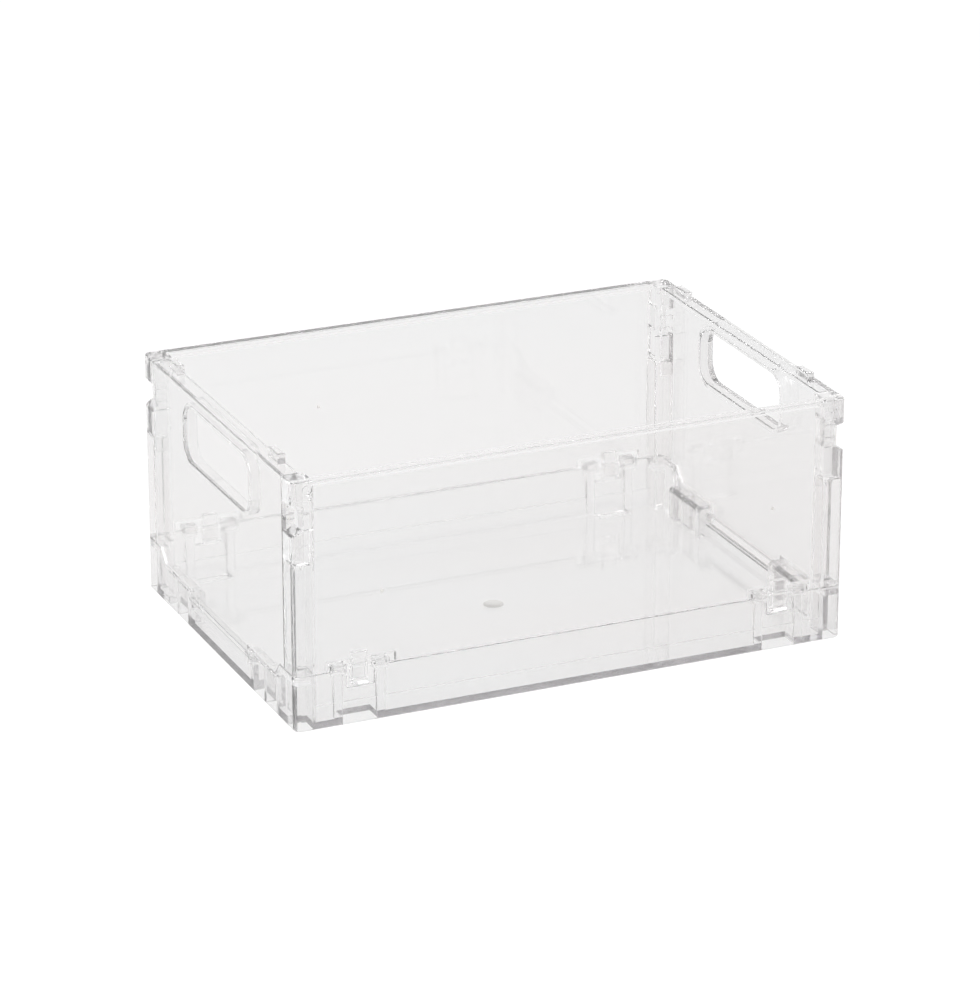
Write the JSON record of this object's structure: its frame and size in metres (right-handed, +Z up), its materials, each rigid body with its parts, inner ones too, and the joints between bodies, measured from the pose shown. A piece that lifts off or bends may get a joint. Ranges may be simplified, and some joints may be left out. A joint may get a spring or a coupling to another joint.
{
  "type": "folding storage crate",
  "caption": "Clear rectangular storage crate with an open top, corner columns, end walls with hand holes that fold inward on pins, and bumps for stacking.",
  "frame": {"origin": "centre of the underside, on the surface that the crate stands on", "axes": "+X along the crate towards the right end wall, +Y across it towards the back wall, +Z up"},
  "size_m": [0.27, 0.188, 0.1218],
  "materials": {
    "clear_plastic": "clear moulded polystyrene, polished",
    "clear_pin": "clear moulded rod"
  },
  "bodies": {
    "base": {"base_tray": "clear_plastic", "front_wall": "clear_plastic", "back_wall": "clear_plastic", "front_left_hinge_pin": "clear_pin", "front_right_hinge_pin": "clear_pin", "back_left_hinge_pin": "clear_pin", "back_right_hinge_pin": "clear_pin", "left_end_front_pin": "clear_pin", "left_end_back_pin": "clear_pin", "right_end_front_pin": "clear_pin", "right_end_back_pin": "clear_pin"},
    "left_end": {"left_end_wall": "clear_plastic"},
    "right_end": {"right_end_wall": "clear_plastic"}
  },
  "joints": [
    {"name": "left_end_fold", "type": "hinge", "parent": "base", "child": "left_end", "pos_m": [-0.1315, 0, 0.014], "axis": [0, 1, 0], "range_deg": [0, 90]},
    {"name": "right_end_fold", "type": "hinge", "parent": "base", "child": "right_end", "pos_m": [0.1315, 0, 0.014], "axis": [0, -1, 0], "range_deg": [0, 90]}
  ]
}
